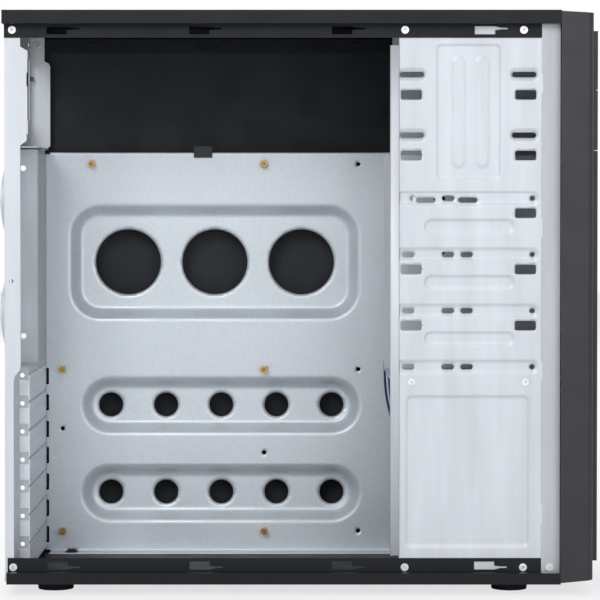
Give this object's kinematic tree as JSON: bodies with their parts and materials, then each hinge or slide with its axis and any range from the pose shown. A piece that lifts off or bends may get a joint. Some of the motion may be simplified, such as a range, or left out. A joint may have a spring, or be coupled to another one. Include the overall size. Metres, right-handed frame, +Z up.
{
  "type": "computer case",
  "caption": "Empty ATX mid-tower computer case with its left cover off: steel chassis, board tray, drive cage, black cover and pan, charcoal front bezel.",
  "frame": {"origin": "on the ground under the middle of the overall box", "axes": "+X from the rear wall to the front bezel, +Y from the open left side to the right cover, +Z up"},
  "size_m": [0.4275, 0.188, 0.4125],
  "materials": {
    "black_paint": "fine textured black paint",
    "zinc_steel": "galvanised sheet",
    "pale_steel": "pale zinc-coated sheet",
    "brass": "turned brass",
    "black_plastic": "matt black moulding",
    "rivet_metal": "bright aluminium",
    "screw_metal": "zinc-plated steel",
    "foot_rubber": "matt black rubber",
    "charcoal_plastic": "fine-grained charcoal moulding",
    "button_plastic": "smooth dark moulding",
    "green_lens": "frosted light pipe",
    "amber_lens": "frosted light pipe",
    "green_plastic": "coloured socket body",
    "pink_plastic": "coloured socket body",
    "socket_metal": "tinned steel shell",
    "board_green": "solder-masked circuit board",
    "blue_insulation": "dark blue wire insulation",
    "grey_insulation": "dark grey cable jacket",
    "white_nylon": "white nylon"
  },
  "bodies": {
    "chassis": {"top_cover": "black_paint", "bottom_pan": "black_paint", "rear_panel": "pale_steel", "motherboard_tray": "zinc_steel", "front_frame": "pale_steel", "cage_left_wall": "pale_steel", "cage_right_wall": "pale_steel", "io_plate": "zinc_steel", "slot_cover_1": "pale_steel", "slot_cover_2": "pale_steel", "slot_cover_3": "pale_steel", "slot_cover_4": "pale_steel", "slot_cover_5": "pale_steel", "slot_cover_6": "pale_steel", "slot_cover_7": "pale_steel", "standoffs": "brass", "tray_clip": "black_plastic", "rivets": "rivet_metal", "foot_rear_left": "foot_rubber", "foot_rear_right": "foot_rubber", "foot_front_left": "foot_rubber", "foot_front_right": "foot_rubber", "front_bezel": "charcoal_plastic", "lower_fascia": "charcoal_plastic", "control_strip": "charcoal_plastic", "power_switch": "black_plastic", "reset_switch": "black_plastic", "power_led": "green_lens", "drive_led": "amber_lens", "headphone_jack": "green_plastic", "microphone_jack": "pink_plastic", "usb_socket_upper": "socket_metal", "usb_socket_lower": "socket_metal", "control_board": "board_green", "port_board": "board_green", "board_screws": "rivet_metal", "switch_lead": "blue_insulation", "switch_plug": "black_plastic", "port_lead": "grey_insulation", "port_plug": "black_plastic", "lead_clip": "white_nylon"},
    "right_cover": {"right_side_panel": "black_paint", "panel_screws": "screw_metal"},
    "power_button": {"power_button": "button_plastic"},
    "reset_button": {"reset_button": "button_plastic"},
    "bay_cover_upper": {"bay_cover_upper": "charcoal_plastic"},
    "bay_cover_lower": {"bay_cover_lower": "charcoal_plastic"}
  },
  "joints": [
    {"name": "right_cover_slide", "type": "slide", "parent": "chassis", "child": "right_cover", "axis": [-1, 0, 0], "range_m": [0, 0.011]},
    {"name": "power_button_press", "type": "slide", "parent": "chassis", "child": "power_button", "axis": [-1, 0, 0], "range_m": [0, 0.002], "stiffness_N_per_m": 600, "springref_m": -0.001},
    {"name": "reset_button_press", "type": "slide", "parent": "chassis", "child": "reset_button", "axis": [-1, 0, 0], "range_m": [0, 0.002], "stiffness_N_per_m": 500, "springref_m": -0.001},
    {"name": "bay_cover_upper_pull", "type": "slide", "parent": "chassis", "child": "bay_cover_upper", "axis": [1, 0, 0], "range_m": [0, 0.013]},
    {"name": "bay_cover_lower_pull", "type": "slide", "parent": "chassis", "child": "bay_cover_lower", "axis": [1, 0, 0], "range_m": [0, 0.013]}
  ]
}
